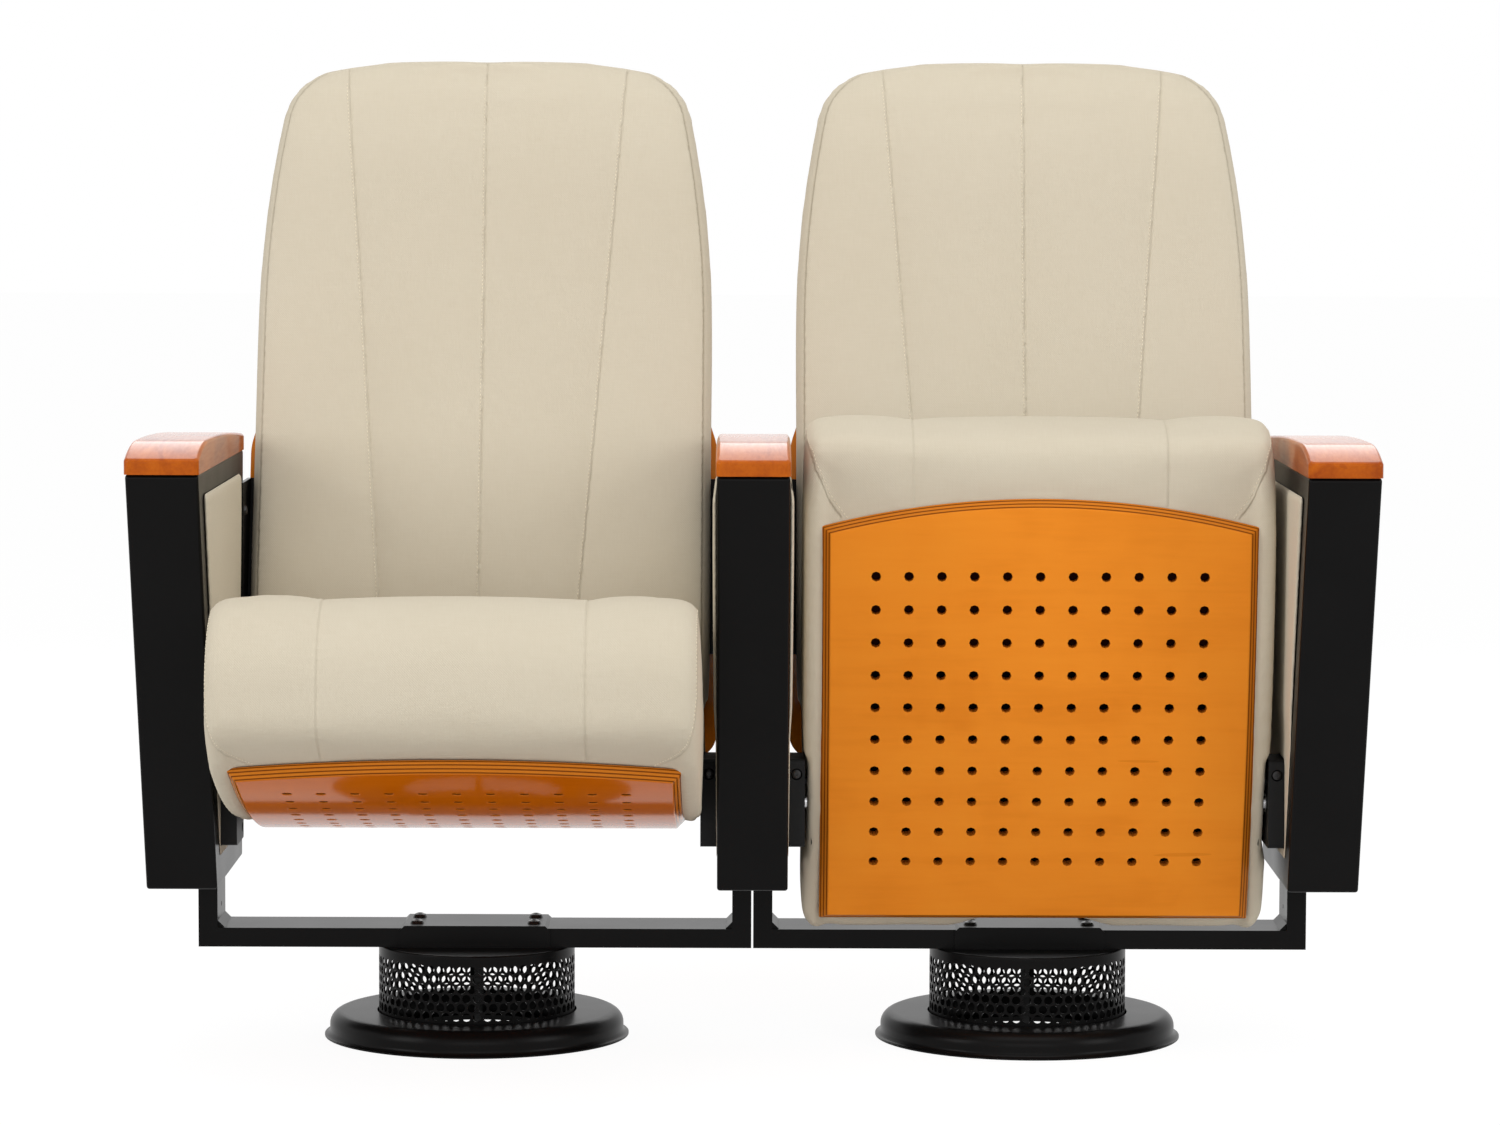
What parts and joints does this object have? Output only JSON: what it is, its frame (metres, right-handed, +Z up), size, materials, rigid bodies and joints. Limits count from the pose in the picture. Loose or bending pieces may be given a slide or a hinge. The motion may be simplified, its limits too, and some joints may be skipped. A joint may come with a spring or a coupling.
{
  "type": "tip up auditorium seat",
  "caption": "Pair of linked tip up auditorium seats with wooden armrests, padded backs and perforated plywood seat panels on pierced air pedestals.",
  "frame": {"origin": "on the floor, at the middle of the whole unit's footprint with the left seat down and the right seat up", "axes": "+X to the sitters' left hand side as seen from the front, so to the right in a front view; +Y to the rear; +Z up"},
  "size_m": [1.239, 0.7607, 1.024],
  "materials": {
    "upholstery": "fine woven cream fabric over foam",
    "lacquered_wood": "glossy clear lacquer, honey orange",
    "lacquered_plywood": "glossy clear lacquer over bent plywood",
    "plain_plywood": "raw",
    "nylon": "moulded",
    "pin_steel": "ground",
    "cartridge_casing": "satin",
    "black_fastener": "black oxide",
    "black_steel": "satin black powder coat"
  },
  "bodies": {
    "stand": {"arm_screws": "black_fastener", "back_bracket_bolts": "black_fastener", "hinge_box_screws": "black_fastener", "hinge_bushes": "nylon", "left_arm_casing": "black_steel", "left_arm_pads": "upholstery", "left_armrest": "lacquered_wood", "left_back_board": "plain_plywood", "left_back_brackets": "black_steel", "left_back_cushion": "upholstery", "left_back_shell": "lacquered_plywood", "left_base_cover": "black_steel", "left_beam": "black_steel", "left_floor_flange": "black_steel", "left_frame_left_upright": "black_steel", "left_frame_right_upright": "black_steel", "left_pedestal_head": "black_steel", "left_pedestal_web": "black_steel", "left_perforated_drum": "black_steel", "left_saddle_plate": "black_steel", "left_seat_left_hinge_box": "black_steel", "left_seat_right_hinge_box": "black_steel", "middle_arm_casing": "black_steel", "middle_arm_pads": "upholstery", "middle_armrest": "lacquered_wood", "right_arm_casing": "black_steel", "right_arm_pads": "upholstery", "right_armrest": "lacquered_wood", "right_back_board": "plain_plywood", "right_back_brackets": "black_steel", "right_back_cushion": "upholstery", "right_back_shell": "lacquered_plywood", "right_base_cover": "black_steel", "right_beam": "black_steel", "right_floor_flange": "black_steel", "right_frame_left_upright": "black_steel", "right_frame_right_upright": "black_steel", "right_pedestal_head": "black_steel", "right_pedestal_web": "black_steel", "right_perforated_drum": "black_steel", "right_saddle_plate": "black_steel", "right_seat_left_hinge_box": "black_steel", "right_seat_right_hinge_box": "black_steel", "saddle_bolts": "black_fastener"},
    "left_seat": {"left_seat_cushion": "upholstery", "left_seat_damper_cartridges": "cartridge_casing", "left_seat_left_hinge_arm": "black_steel", "left_seat_panel": "lacquered_plywood", "left_seat_pivot_pins": "pin_steel", "left_seat_right_hinge_arm": "black_steel", "left_seat_screws": "black_fastener", "left_seat_tray": "black_steel"},
    "right_seat": {"right_seat_cushion": "upholstery", "right_seat_damper_cartridges": "cartridge_casing", "right_seat_left_hinge_arm": "black_steel", "right_seat_panel": "lacquered_plywood", "right_seat_pivot_pins": "pin_steel", "right_seat_right_hinge_arm": "black_steel", "right_seat_screws": "black_fastener", "right_seat_tray": "black_steel"}
  },
  "joints": [
    {"name": "left_seat_tip", "type": "hinge", "parent": "stand", "child": "left_seat", "pos_m": [-0.29, -0.01546, 0.262], "axis": [-1, 0, 0], "range_deg": [0, 63.4]},
    {"name": "right_seat_tip", "type": "hinge", "parent": "stand", "child": "right_seat", "pos_m": [0.29, -0.01546, 0.262], "axis": [-1, 0, 0], "range_deg": [-63.4, 0]}
  ]
}
